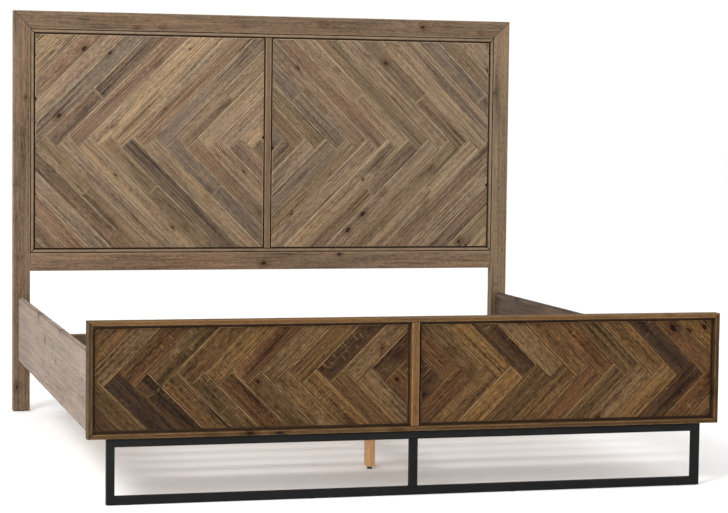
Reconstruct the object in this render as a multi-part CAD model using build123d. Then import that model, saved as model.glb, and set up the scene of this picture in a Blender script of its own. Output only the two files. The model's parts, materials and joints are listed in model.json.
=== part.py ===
"""King bed frame: herringbone headboard and footboard, steel foot base, rails, slats and centre support.

Origin: centre of the whole frame's footprint, on the floor. +X is to the right seen from the foot,
+Y runs to the headboard, +Z is up. Millimetres.
"""

from build123d import *

import math
import os

# Overall sizes
BED_WIDTH = 2060.0
FOOT_TO_HEAD = 2150.0
HEAD_DEPTH = 42.0
HEAD_HEIGHT = 1590.0
GLIDE_PAD = 2.0

# Headboard
POST_WIDTH = 68.0
HEAD_RAIL_HEIGHT = 72.0
LOWER_RAIL_BOTTOM = 559.0
BEAD_WIDTH = 15.0
BEAD_SETBACK = 2.0
BEAD_ROUND = 4.0
STILE_WIDTH = 26.0
HEAD_RECESS = 7.0
HEAD_PLANK = 12.0
HEAD_BACKING = 12.0
HEAD_PANEL_GAP = 2.5
STRETCHER_BOTTOM = 195.0
STRETCHER_TOP = 305.0
STRETCHER_THICKNESS = 22.0
STRETCHER_SETBACK = 6.0
DOWEL_RADIUS = 5.0
DOWEL_LENGTH = 60.0
DOWEL_LEVELS = (0.3, 0.7)

# Footboard
FOOT_DEPTH = 45.0
FOOT_BOTTOM = 203.0
FOOT_TOP = 563.0
FOOT_BOARD = 16.0
FOOT_RECESS = 16.0
FOOT_PLANK = 10.0
FOOT_PANEL_GAP = 4.5
FOOT_STILE_SETBACK = 1.0

# Herringbone planks
PLANK_WIDTH = 62.2
PLANK_JOINT = 0.8
SMALLEST_PLANK_AREA = 150.0
LONG_PLANK = 330.0
LONG_PLANK_CUT = 0.45
CUT_EVERY = 3
HEAD_FIRST_VALLEY = {"left": -5.0, "right": 39.0}
FOOT_FIRST_VALLEY = {"left": 32.0, "right": 30.0}

# Steel base under the footboard
TUBE = 25.0
TUBE_WALL = 2.0
TUBE_CORNER = 2.5
BASE_HALF_WIDTH = 970.0
BASE_SETBACK = 8.0
BASE_SCREWS_X = (-900.0, -450.0, 60.0, 450.0, 900.0)
BASE_SCREW_RADIUS = 2.5
BASE_SCREW_HEAD_RADIUS = 4.5
BASE_SCREW_HEAD = 3.0
BASE_SCREW_BITE = 13.0
ACCESS_HOLE_RADIUS = 6.0
BASE_PADS_X = (-900.0, -330.0, 330.0, 900.0)
BASE_PAD_RADIUS = 11.0
POST_PAD_RADIUS = 15.0

# Side rails and ledgers
RAIL_INSET = 21.0
RAIL_THICKNESS = 20.0
RAIL_BOTTOM = 203.0
RAIL_TOP = 455.0
LEDGER_WIDTH = 30.0
LEDGER_BOTTOM = 204.0
LEDGER_TOP = 226.0
LEDGER_END_GAP = 20.0
LEDGER_SCREWS = 6
LEDGER_SCREW_MARGIN = 120.0
LEDGER_SCREW_BITE = 15.0

# Hook-and-slot plates where the rails meet the headboard and footboard
PLATE_WIDTH = 16.0
PLATE_THICKNESS = 3.0
PLATE_DOWN = 86.0
PLATE_UP = 70.0
PLATE_CORNER = 3.0
HOOK_SEATS = (12.0, -52.0)
HOOK_THICKNESS = 4.0
HOOK_REACH = 12.0
HOOK_NECK = 14.0
HOOK_LIP = 13.0
HOOK_LIP_GAP = 0.5
SLOT_WIDTH = 6.0
SLOT_HEIGHT = 32.0
POCKET_WIDTH = 9.0
POCKET_DEPTH = 14.0
POCKET_SPARE = 3.0
PLATE_SCREWS = (58.0, -12.0, -77.0)

# Wood screws
SCREW_RADIUS = 2.0
SCREW_HEAD_RADIUS = 4.0
SCREW_HEAD = 2.4
SCREW_LENGTH = 15.0
SCREW_GAP = 0.1

# Slats
SLAT_COUNT = 13
SLAT_WIDTH = 70.0
SLAT_THICKNESS = 19.0
SLAT_END_GAP = 4.5
SLAT_MARGIN = 75.0
SLAT_EDGE = 2.0
SLAT_SCREW_INSET = 15.0
SLAT_SCREW_LENGTH = 34.0

# Centre beam and its two legs
BEAM_WIDTH = 60.0
BEAM_HEIGHT = 50.0
HANGER_SHEET = 2.0
HANGER_DEPTH = 40.0
HANGER_EAR = 22.0
HANGER_RISE = 22.0
HANGER_GAP = 0.2
HANGER_SCREW_LEVELS = (209.0, 238.0)
LEG_WIDTH = 28.0
LEG_DEPTH = 40.0
LEG_OFFSETS = (535.0, 1450.0)
LEG_BOTTOM = 9.0
LEG_BOLT_RADIUS = 4.0
LEG_BOLT_HALF = 35.0

# Levelling feet
STEM_RADIUS = 4.0
STEM_TOP = 50.0
STEM_HOLE_RADIUS = 4.5
STEM_HOLE_TOP = 56.0
RUNNING_GAP = 0.05
INSERT_RADIUS = 6.0
INSERT_LENGTH = 18.0
INSERT_FLANGE_RADIUS = 9.0
INSERT_FLANGE = 1.5
FOOT_GAP = 0.3
PAD_RADIUS = 9.5
PAD_TOP_RADIUS = 8.0
PAD_HEIGHT = 5.7
PIVOT_RADIUS = 3.0
PIVOT_BOTTOM = 1.6
COLLAR_FLATS = 10.0

# Edge easing
POST_EASE = 2.0
BOARD_EASE = 1.2

# Derived places
HALF_WIDTH = BED_WIDTH / 2
HALF_DEPTH = (FOOT_TO_HEAD + HEAD_DEPTH) / 2
FOOT_FRONT = -HALF_DEPTH
FOOT_BACK = FOOT_FRONT + FOOT_DEPTH
HEAD_BACK = HALF_DEPTH
HEAD_FRONT = HEAD_BACK - HEAD_DEPTH
OPENING_HALF = HALF_WIDTH - POST_WIDTH
OPENING_BOTTOM = LOWER_RAIL_BOTTOM + HEAD_RAIL_HEIGHT
OPENING_TOP = HEAD_HEIGHT - HEAD_RAIL_HEIGHT
STILE_HALF = STILE_WIDTH / 2
RAIL_OUTER = HALF_WIDTH - RAIL_INSET
RAIL_INNER = RAIL_OUTER - RAIL_THICKNESS
RAIL_MIDDLE = (RAIL_OUTER + RAIL_INNER) / 2
PLATE_LEVEL = (RAIL_BOTTOM + RAIL_TOP) / 2
STRETCHER_FRONT = HEAD_FRONT + STRETCHER_SETBACK
BEAM_TOP = LEDGER_TOP
BEAM_BOTTOM = BEAM_TOP - BEAM_HEIGHT
SIDES = {"left": -1, "right": 1}


def block(x0, x1, y0, y1, z0, z1):
    """A box between two corners."""
    size = Box(abs(x1 - x0), y1 - y0, z1 - z0)
    return Pos((x0 + x1) / 2, (y0 + y1) / 2, (z0 + z1) / 2) * size


def eased(solid, axis, radius):
    """The solid with its edges along one axis rounded."""
    return fillet(solid.edges().filter_by(axis), radius)


def slab(points, y0, y1):
    """An outline in X and Z, drawn through from y0 to y1."""
    outline = Pos(0, y0, 0) * (Plane.XZ * Polygon(*points, align=None))
    return extrude(outline, amount=y1 - y0, dir=(0, 1, 0))


def mirrored_slab(points, side, y0, y1):
    """A slab drawn for +X and put on the given side."""
    return slab([(side * x, z) for x, z in points], y0, y1)


def rod(x, y, z0, z1, radius):
    """An upright cylinder."""
    return Pos(x, y, (z0 + z1) / 2) * Cylinder(radius, z1 - z0)


def group(solids):
    """Separate solids that share one node."""
    return Compound(children=list(solids))


def wood_screw(length):
    """A countersunk screw along -Z with its head's top at the origin."""
    head = Cone(SCREW_RADIUS, SCREW_HEAD_RADIUS, SCREW_HEAD)
    shank = Pos(0, 0, -length / 2) * Cylinder(SCREW_RADIUS, length - SCREW_GAP)
    return Pos(0, 0, -SCREW_HEAD / 2) * head + Pos(0, 0, -SCREW_GAP / 2) * shank


def countersink(length):
    """The hole for a wood screw, with its mouth at the origin and open above it."""
    mouth = Cone(SCREW_RADIUS + SCREW_GAP, SCREW_HEAD_RADIUS + SCREW_GAP, SCREW_HEAD)
    bore = Cylinder(SCREW_RADIUS + SCREW_GAP, length)
    return Pos(0, 0, -SCREW_HEAD / 2) * mouth + Pos(0, 0, -length / 2) * bore


# Headboard

def headboard_post(side):
    """A post from floor to top, mitred into the top rail."""
    points = [
        (HALF_WIDTH, GLIDE_PAD),
        (HALF_WIDTH, HEAD_HEIGHT),
        (OPENING_HALF, OPENING_TOP),
        (OPENING_HALF, GLIDE_PAD),
    ]
    post = mirrored_slab(points, side, HEAD_FRONT, HEAD_BACK)
    post = eased(post, Axis.Z, POST_EASE)
    return post - plate_pocket(side, HEAD_FRONT, 1)


def headboard_top_rail():
    """The mitred top rail."""
    points = [
        (-HALF_WIDTH, HEAD_HEIGHT),
        (HALF_WIDTH, HEAD_HEIGHT),
        (OPENING_HALF, OPENING_TOP),
        (-OPENING_HALF, OPENING_TOP),
    ]
    return eased(slab(points, HEAD_FRONT, HEAD_BACK), Axis.X, POST_EASE)


def headboard_lower_rail():
    """The rail under the panel, between the posts."""
    bottom, top = LOWER_RAIL_BOTTOM, OPENING_BOTTOM
    rail = block(-OPENING_HALF, OPENING_HALF, HEAD_FRONT, HEAD_BACK, bottom, top)
    return eased(rail, Axis.X, POST_EASE)


def headboard_stretcher():
    """The low board between the legs that carries the beam's end."""
    back = STRETCHER_FRONT + STRETCHER_THICKNESS
    board = block(-OPENING_HALF, OPENING_HALF, STRETCHER_FRONT, back, STRETCHER_BOTTOM, STRETCHER_TOP)
    return eased(board, Axis.X, BOARD_EASE)


def headboard_beads():
    """Four mitred beads around the panel opening, rounded on their front edges."""
    x, top, bottom = OPENING_HALF, OPENING_TOP, OPENING_BOTTOM
    inner_x, inner_top, inner_bottom = x - BEAD_WIDTH, top - BEAD_WIDTH, bottom + BEAD_WIDTH
    front = HEAD_FRONT + BEAD_SETBACK
    back = HEAD_FRONT + HEAD_RECESS + HEAD_PLANK
    outlines = {
        "top": [(-x, top), (x, top), (inner_x, inner_top), (-inner_x, inner_top)],
        "bottom": [(-x, bottom), (-inner_x, inner_bottom), (inner_x, inner_bottom), (x, bottom)],
        "left": [(-x, bottom), (-x, top), (-inner_x, inner_top), (-inner_x, inner_bottom)],
        "right": [(x, bottom), (inner_x, inner_bottom), (inner_x, inner_top), (x, top)],
    }
    beads = {}
    for name, outline in outlines.items():
        along = Axis.X if name in ("top", "bottom") else Axis.Z
        bead = slab(outline, front, back)
        front_edges = bead.edges().filter_by(along).group_by(Axis.Y)[0]
        beads[name] = fillet(front_edges, BEAD_ROUND)
    return beads


def headboard_stile():
    """The upright between the two panels."""
    bottom, top = OPENING_BOTTOM + BEAD_WIDTH, OPENING_TOP - BEAD_WIDTH
    back = HEAD_FRONT + HEAD_RECESS + HEAD_PLANK
    stile = block(-STILE_HALF, STILE_HALF, HEAD_FRONT + BEAD_SETBACK, back, bottom, top)
    return eased(stile, Axis.Z, BOARD_EASE)


def headboard_backing():
    """The board that the planks are glued to."""
    front = HEAD_FRONT + HEAD_RECESS + HEAD_PLANK
    back = front + HEAD_BACKING
    return block(-OPENING_HALF, OPENING_HALF, front, back, OPENING_BOTTOM, OPENING_TOP)


def headboard_dowels():
    """Dowels from the lower rail and the stretcher into the posts."""
    rail_middle = HEAD_FRONT + HEAD_DEPTH / 2
    stretcher_middle = STRETCHER_FRONT + STRETCHER_THICKNESS / 2
    stretcher_height = STRETCHER_TOP - STRETCHER_BOTTOM
    dowel = Rot(0, 90, 0) * Cylinder(DOWEL_RADIUS, DOWEL_LENGTH)
    dowels = []
    for side in SIDES.values():
        x = side * OPENING_HALF
        for share in DOWEL_LEVELS:
            dowels.append(Pos(x, rail_middle, LOWER_RAIL_BOTTOM + share * HEAD_RAIL_HEIGHT) * dowel)
            dowels.append(Pos(x, stretcher_middle, STRETCHER_BOTTOM + share * stretcher_height) * dowel)
    return group(dowels)


# Footboard

def footboard_boards():
    """The four mitred edge boards."""
    x, top, bottom = HALF_WIDTH, FOOT_TOP, FOOT_BOTTOM
    inner_x, inner_top, inner_bottom = x - FOOT_BOARD, top - FOOT_BOARD, bottom + FOOT_BOARD
    outlines = {
        "top": [(-x, top), (x, top), (inner_x, inner_top), (-inner_x, inner_top)],
        "bottom": [(-x, bottom), (-inner_x, inner_bottom), (inner_x, inner_bottom), (x, bottom)],
        "left": [(-x, bottom), (-x, top), (-inner_x, inner_top), (-inner_x, inner_bottom)],
        "right": [(x, bottom), (inner_x, inner_bottom), (inner_x, inner_top), (x, top)],
    }
    boards = {}
    for name, outline in outlines.items():
        along = Axis.X if name in ("top", "bottom") else Axis.Z
        boards[name] = eased(slab(outline, FOOT_FRONT, FOOT_BACK), along, BOARD_EASE)
    return boards


def footboard_stile():
    """The upright between the footboard's two panels."""
    front = FOOT_FRONT + FOOT_STILE_SETBACK
    back = FOOT_FRONT + FOOT_RECESS + FOOT_PLANK
    bottom, top = FOOT_BOTTOM + FOOT_BOARD, FOOT_TOP - FOOT_BOARD
    return eased(block(-STILE_HALF, STILE_HALF, front, back, bottom, top), Axis.Z, BOARD_EASE)


def footboard_backing():
    """The thick board behind the footboard's planks, which the rails hook onto."""
    front = FOOT_FRONT + FOOT_RECESS + FOOT_PLANK
    half = HALF_WIDTH - FOOT_BOARD
    backing = block(-half, half, front, FOOT_BACK, FOOT_BOTTOM + FOOT_BOARD, FOOT_TOP - FOOT_BOARD)
    for side in SIDES.values():
        backing -= plate_pocket(side, FOOT_BACK, -1)
    return backing


# Herringbone planks

def strip_lengths(start, longest, index):
    """Where a strip's planks start and end: every third long strip has a cross joint."""
    if index % CUT_EVERY or longest < LONG_PLANK:
        return [(start, start + BED_WIDTH)]
    cut = start + LONG_PLANK_CUT * longest
    return [(start, cut - PLANK_JOINT / 2), (cut + PLANK_JOINT / 2, start + BED_WIDTH)]


def herringbone(upper, x_range, z_range, first_valley):
    """Flat outlines of one quarter panel's planks, drawn in X and Z for the left-hand side.

    The joint across the middle zigzags. An upper strip rises at 45 degrees from the zigzag and a lower
    one falls. Each square end meets the side of the strip across from it. first_valley is how far the
    zigzag's first low point lies from the panel's outer edge.
    """
    low_x, high_x = x_range
    low_z, high_z = z_range
    width, height = high_x - low_x, high_z - low_z
    panel = Pos(low_x + width / 2, low_z + height / 2) * Rectangle(width, height)
    zigzag = Pos(low_x + first_valley, low_z + height / 2 - PLANK_WIDTH / math.sqrt(8))
    turn = 45 if upper else -45
    across = -1 if upper else 1
    gap = PLANK_JOINT / 2
    strips = math.ceil((width + height) / PLANK_WIDTH)
    outlines = []
    for index in range(-strips, strips):
        start = (index + 1 if upper else index) * PLANK_WIDTH + gap
        middle = (index + 0.5) * PLANK_WIDTH
        for near, far in strip_lengths(start, height / math.sqrt(2), index):
            strip = Pos((near + far) / 2, across * middle) * Rectangle(far - near, PLANK_WIDTH - 2 * gap)
            trimmed = (zigzag * Rot(0, 0, turn) * strip) & panel
            faces = trimmed.faces() if trimmed else []
            outlines += [face for face in faces if face.area > SMALLEST_PLANK_AREA]
    return outlines


def stand_planks(outlines, side, y0, y1):
    """Planks from flat outlines, stood up between two Y planes and mirrored for the right-hand side."""
    planks = []
    for outline in outlines:
        upright = Pos(0, y0, 0) * (Plane.XZ * Sketch(outline.wrapped))
        plank = extrude(upright, amount=y1 - y0, dir=(0, 1, 0))
        planks.append(plank if side < 0 else mirror(plank, about=Plane.YZ))
    return group(planks)


def headboard_planks(name, upper):
    """One quarter of the headboard's herringbone."""
    side, gap = SIDES[name], HEAD_PANEL_GAP
    x_range = (BEAD_WIDTH + gap - OPENING_HALF, -STILE_HALF - gap)
    z_range = (OPENING_BOTTOM + BEAD_WIDTH + gap, OPENING_TOP - BEAD_WIDTH - gap)
    outlines = herringbone(upper, x_range, z_range, HEAD_FIRST_VALLEY[name])
    front = HEAD_FRONT + HEAD_RECESS
    return stand_planks(outlines, side, front, front + HEAD_PLANK)


def footboard_planks(name, upper):
    """One quarter of the footboard's herringbone."""
    side, gap = SIDES[name], FOOT_PANEL_GAP
    x_range = (FOOT_BOARD + gap - HALF_WIDTH, -STILE_HALF - gap)
    z_range = (FOOT_BOTTOM + FOOT_BOARD + gap, FOOT_TOP - FOOT_BOARD - gap)
    outlines = herringbone(upper, x_range, z_range, FOOT_FIRST_VALLEY[name])
    front = FOOT_FRONT + FOOT_RECESS
    return stand_planks(outlines, side, front, front + FOOT_PLANK)


# Steel base

def tube_slab(outline, hollow, axis):
    """A square tube along an axis, with a mitred or square outline in X and Z."""
    front = FOOT_FRONT + BASE_SETBACK
    back = front + TUBE
    outer = eased(slab(outline, front, back), axis, TUBE_CORNER)
    return outer - slab(hollow, front + TUBE_WALL, back - TUBE_WALL)


def base_bar(low, high, mitre_up):
    """A long tube of the base with 45 degree ends."""
    x, short = BASE_HALF_WIDTH, BASE_HALF_WIDTH - TUBE
    wide, narrow = (low, high) if mitre_up else (high, low)
    inward = TUBE_WALL if mitre_up else -TUBE_WALL
    outline = [(-x, wide), (x, wide), (short, narrow), (-short, narrow)]
    inner = x - TUBE_WALL
    short_inner = short + TUBE_WALL
    hollow = [
        (-inner, wide + inward),
        (inner, wide + inward),
        (short_inner, narrow - inward),
        (-short_inner, narrow - inward),
    ]
    return tube_slab(outline, hollow, Axis.X)


def base_top_bar():
    """The tube screwed under the footboard, with a screw hole and an access hole at each screw."""
    bar = base_bar(FOOT_BOTTOM - TUBE, FOOT_BOTTOM, False)
    middle = FOOT_FRONT + BASE_SETBACK + TUBE / 2
    seat, floor = FOOT_BOTTOM - TUBE_WALL, FOOT_BOTTOM - TUBE
    for x in BASE_SCREWS_X:
        bar -= rod(x, middle, seat - 1, FOOT_BOTTOM + 1, BASE_SCREW_RADIUS + SCREW_GAP)
        bar -= rod(x, middle, floor - 1, floor + TUBE_WALL + 1, ACCESS_HOLE_RADIUS)
    return bar


def base_side_upright(side):
    """An end tube of the base, mitred at both ends."""
    x, inner = BASE_HALF_WIDTH, BASE_HALF_WIDTH - TUBE
    low, high = GLIDE_PAD, FOOT_BOTTOM
    outline = [(x, low), (x, high), (inner, high - TUBE), (inner, low + TUBE)]
    wall = TUBE_WALL
    hollow = [
        (x - wall, low + wall),
        (x - wall, high - wall),
        (inner + wall, high - TUBE + wall),
        (inner + wall, low + TUBE - wall),
    ]
    outline = [(side * a, b) for a, b in outline]
    return tube_slab(outline, [(side * a, b) for a, b in hollow], Axis.Z)


def base_center_upright():
    """The middle tube of the base, welded between the bars."""
    half, wall = TUBE / 2, TUBE_WALL
    low, high = GLIDE_PAD + TUBE, FOOT_BOTTOM - TUBE
    outline = [(-half, low), (half, low), (half, high), (-half, high)]
    hollow = [(-half + wall, low), (half - wall, low), (half - wall, high), (-half + wall, high)]
    return tube_slab(outline, hollow, Axis.Z)


def base_screws():
    """Screws inside the top tube that hold it to the footboard's bottom board."""
    middle = FOOT_FRONT + BASE_SETBACK + TUBE / 2
    seat = FOOT_BOTTOM - TUBE_WALL
    screws = []
    for x in BASE_SCREWS_X:
        head = rod(x, middle, seat - BASE_SCREW_HEAD, seat, BASE_SCREW_HEAD_RADIUS)
        screws.append(head + rod(x, middle, seat, FOOT_BOTTOM + BASE_SCREW_BITE, BASE_SCREW_RADIUS))
    return group(screws)


def floor_glides():
    """Thin pads under the base's bottom tube and under the headboard's posts."""
    base_middle = FOOT_FRONT + BASE_SETBACK + TUBE / 2
    post_middle = HEAD_FRONT + HEAD_DEPTH / 2
    post_x = HALF_WIDTH - POST_WIDTH / 2
    pads = [rod(x, base_middle, 0, GLIDE_PAD, BASE_PAD_RADIUS) for x in BASE_PADS_X]
    pads += [rod(side * post_x, post_middle, 0, GLIDE_PAD, POST_PAD_RADIUS) for side in SIDES.values()]
    return group(pads)


# Side rails, ledgers and their hook plates

def plate_box(side, y0, y1):
    """The plate's rectangle between two Y planes."""
    x0 = side * RAIL_MIDDLE - PLATE_WIDTH / 2
    low, high = PLATE_LEVEL - PLATE_DOWN, PLATE_LEVEL + PLATE_UP
    return block(x0, x0 + PLATE_WIDTH, min(y0, y1), max(y0, y1), low, high)


def plate_pocket(side, face, inward):
    """The recess for a slot plate and its hooks, cut from face towards inward."""
    x = side * RAIL_MIDDLE
    pocket = plate_box(side, face, face + inward * PLATE_THICKNESS)
    deep = face + inward * POCKET_DEPTH
    for seat in HOOK_SEATS:
        low = PLATE_LEVEL + seat - HOOK_LIP - POCKET_SPARE
        high = PLATE_LEVEL + seat + SLOT_HEIGHT
        half = POCKET_WIDTH / 2
        pocket += block(x - half, x + half, min(face, deep), max(face, deep), low, high)
    return pocket


def side_rail(side):
    """A side rail with a recess at each end for its hook plate."""
    rail = block(side * RAIL_INNER, side * RAIL_OUTER, FOOT_BACK, HEAD_FRONT, RAIL_BOTTOM, RAIL_TOP)
    rail = eased(rail, Axis.Y, BOARD_EASE)
    rail -= plate_box(side, HEAD_FRONT, HEAD_FRONT - PLATE_THICKNESS)
    return rail - plate_box(side, FOOT_BACK, FOOT_BACK + PLATE_THICKNESS)


def ledger(side):
    """The strip inside a rail that the slats rest on."""
    y0, y1 = FOOT_BACK + LEDGER_END_GAP, HEAD_FRONT - LEDGER_END_GAP
    inner = side * (RAIL_INNER - LEDGER_WIDTH)
    strip = block(side * RAIL_INNER, inner, y0, y1, LEDGER_BOTTOM, LEDGER_TOP)
    return eased(strip, Axis.Y, BOARD_EASE)


def ledger_screws():
    """Screws through the ledgers into the rails."""
    first = FOOT_BACK + LEDGER_END_GAP + LEDGER_SCREW_MARGIN
    last = HEAD_FRONT - LEDGER_END_GAP - LEDGER_SCREW_MARGIN
    level = (LEDGER_BOTTOM + LEDGER_TOP) / 2
    screw = wood_screw(LEDGER_WIDTH + LEDGER_SCREW_BITE)
    screws = []
    for side in SIDES.values():
        for step in range(LEDGER_SCREWS):
            y = first + (last - first) * step / (LEDGER_SCREWS - 1)
            place = Pos(side * (RAIL_INNER - LEDGER_WIDTH), y, level)
            screws.append(place * Rot(0, -side * 90, 0) * screw)
    return group(screws)


def rail_ends():
    """Side, meeting plane, and direction from the rail into what it hooks on."""
    ends = []
    for side in SIDES.values():
        ends.append((side, HEAD_FRONT, 1))
        ends.append((side, FOOT_BACK, -1))
    return ends


def hook_plate(side, face, inward):
    """The plate let into a rail's end, with two hooks that drop behind the slot plate."""
    plate = eased(plate_box(side, face, face - inward * PLATE_THICKNESS), Axis.Y, PLATE_CORNER)
    x = side * RAIL_MIDDLE
    half = HOOK_THICKNESS / 2
    lip_start = face + inward * (PLATE_THICKNESS + HOOK_LIP_GAP)
    tip = face + inward * HOOK_REACH
    for seat in HOOK_SEATS:
        z = PLATE_LEVEL + seat
        plate += block(x - half, x + half, min(face, tip), max(face, tip), z, z + HOOK_NECK)
        plate += block(x - half, x + half, min(lip_start, tip), max(lip_start, tip), z - HOOK_LIP, z)
    for z in PLATE_SCREWS:
        hole = Pos(side * RAIL_MIDDLE, face, PLATE_LEVEL + z) * Rot(-90 * inward, 0, 0)
        plate -= hole * countersink(PLATE_THICKNESS + 1)
    return plate


def slot_plate(side, face, inward):
    """The plate let into a post or the footboard, with a slot for each hook."""
    plate = eased(plate_box(side, face, face + inward * PLATE_THICKNESS), Axis.Y, PLATE_CORNER)
    x = side * RAIL_MIDDLE
    half = SLOT_WIDTH / 2
    for seat in HOOK_SEATS:
        z = PLATE_LEVEL + seat
        y0, y1 = face - PLATE_THICKNESS - 1, face + PLATE_THICKNESS + 1
        plate -= block(x - half, x + half, y0, y1, z, z + SLOT_HEIGHT)
    for z in PLATE_SCREWS:
        hole = Pos(side * RAIL_MIDDLE, face, PLATE_LEVEL + z) * Rot(90 * inward, 0, 0)
        plate -= hole * countersink(PLATE_THICKNESS + 1)
    return plate


def plate_screws():
    """Screws of the hook plates and of the slot plates."""
    screw = wood_screw(SCREW_LENGTH)
    screws = []
    for side, face, inward in rail_ends():
        for z in PLATE_SCREWS:
            place = Pos(side * RAIL_MIDDLE, face, PLATE_LEVEL + z)
            screws.append(place * Rot(-90 * inward, 0, 0) * screw)
            screws.append(place * Rot(90 * inward, 0, 0) * screw)
    return group(screws)


# Slats, centre beam and legs

def slat_places():
    """The Y of each slat's middle."""
    first = FOOT_BACK + SLAT_MARGIN
    last = HEAD_FRONT - SLAT_MARGIN
    return [first + (last - first) * step / (SLAT_COUNT - 1) for step in range(SLAT_COUNT)]


def slats():
    """The slats across the ledgers and the beam."""
    half = RAIL_INNER - SLAT_END_GAP
    boards = []
    for y in slat_places():
        y0, y1 = y - SLAT_WIDTH / 2, y + SLAT_WIDTH / 2
        slat = block(-half, half, y0, y1, LEDGER_TOP, LEDGER_TOP + SLAT_THICKNESS)
        boards.append(eased(slat, Axis.X, SLAT_EDGE))
    return group(boards)


def slat_screws():
    """A screw at each end of each slat, down into the ledger."""
    x = RAIL_INNER - SLAT_SCREW_INSET
    screw = wood_screw(SLAT_SCREW_LENGTH)
    top = LEDGER_TOP + SLAT_THICKNESS
    return group(Pos(side * x, y, top) * screw for side in SIDES.values() for y in slat_places())


def center_beam():
    """The beam under the middle of the slats."""
    half = BEAM_WIDTH / 2
    y0, y1 = FOOT_BACK + HANGER_SHEET, STRETCHER_FRONT - HANGER_SHEET
    return eased(block(-half, half, y0, y1, BEAM_BOTTOM, BEAM_TOP), Axis.Y, BOARD_EASE)


def hanger_screw_places():
    """X and Z of a hanger's four screws."""
    x = BEAM_WIDTH / 2 + HANGER_GAP + HANGER_EAR / 2 + HANGER_SHEET
    return [(side * x, z) for side in SIDES.values() for z in HANGER_SCREW_LEVELS]


def beam_hanger(face, inward):
    """A sheet hanger on face: a flange with two ears, a floor and two cheeks for the beam's end."""
    inner = BEAM_WIDTH / 2 + HANGER_GAP
    outer = inner + HANGER_SHEET
    low = BEAM_BOTTOM - HANGER_SHEET
    flange_y = face + inward * HANGER_SHEET
    tip = face + inward * HANGER_DEPTH
    ear = outer + HANGER_EAR
    hanger = block(-ear, ear, min(face, flange_y), max(face, flange_y), low, BEAM_TOP + HANGER_RISE)
    hanger += block(-outer, outer, min(face, tip), max(face, tip), low, BEAM_BOTTOM)
    for side in SIDES.values():
        hanger += block(side * inner, side * outer, min(face, tip), max(face, tip), low, BEAM_TOP)
    for x, z in hanger_screw_places():
        hanger -= Pos(x, flange_y, z) * Rot(-90 * inward, 0, 0) * countersink(2 * HANGER_SHEET)
    return hanger


def hanger_screws():
    """The screws of both hangers."""
    screw = wood_screw(SCREW_LENGTH)
    screws = []
    for face, inward in ((FOOT_BACK, 1), (STRETCHER_FRONT, -1)):
        for x, z in hanger_screw_places():
            place = Pos(x, face + inward * HANGER_SHEET, z) * Rot(-90 * inward, 0, 0)
            screws.append(place * screw)
    return group(screws)


def center_leg(y):
    """A leg under the beam, bored for its insert and levelling stem."""
    half_x, half_y = LEG_WIDTH / 2, LEG_DEPTH / 2
    leg = block(-half_x, half_x, y - half_y, y + half_y, LEG_BOTTOM, BEAM_BOTTOM)
    leg = eased(leg, Axis.Z, BOARD_EASE)
    leg -= rod(0, y, LEG_BOTTOM - 1, LEG_BOTTOM + INSERT_FLANGE, INSERT_FLANGE_RADIUS)
    leg -= rod(0, y, LEG_BOTTOM, LEG_BOTTOM + INSERT_LENGTH, INSERT_RADIUS)
    return leg - rod(0, y, LEG_BOTTOM, STEM_HOLE_TOP, STEM_HOLE_RADIUS)


def leg_insert(y):
    """A flanged threaded insert in a leg's foot."""
    insert = rod(0, y, LEG_BOTTOM, LEG_BOTTOM + INSERT_FLANGE, INSERT_FLANGE_RADIUS)
    insert += rod(0, y, LEG_BOTTOM, LEG_BOTTOM + INSERT_LENGTH, INSERT_RADIUS)
    return insert - rod(0, y, 0, STEM_TOP, STEM_RADIUS + RUNNING_GAP)


def leveling_stem(y):
    """A threaded stem with a hex collar and a pivot that turns in the pad."""
    collar_low, collar_high = PAD_HEIGHT + FOOT_GAP, LEG_BOTTOM - FOOT_GAP
    collar = extrude(RegularPolygon(COLLAR_FLATS / 2, 6, major_radius=False), collar_high - collar_low)
    stem = Pos(0, y, collar_low) * collar
    stem += rod(0, y, collar_low, STEM_TOP, STEM_RADIUS)
    return stem + rod(0, y, PIVOT_BOTTOM, collar_low, PIVOT_RADIUS)


def leveling_pad(y):
    """The round pad on the floor, with a socket for the stem's pivot."""
    pad = Pos(0, y, PAD_HEIGHT / 2) * Cone(PAD_RADIUS, PAD_TOP_RADIUS, PAD_HEIGHT)
    return pad - rod(0, y, PIVOT_BOTTOM - FOOT_GAP, PAD_HEIGHT + 1, PIVOT_RADIUS + RUNNING_GAP)


def leg_bolts():
    """A bolt that joins each centre leg to the beam."""
    places = [FOOT_FRONT + offset for offset in LEG_OFFSETS]
    low, high = BEAM_BOTTOM - LEG_BOLT_HALF, BEAM_BOTTOM + LEG_BOLT_HALF
    return group(rod(0, y, low, high, LEG_BOLT_RADIUS) for y in places)


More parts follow.
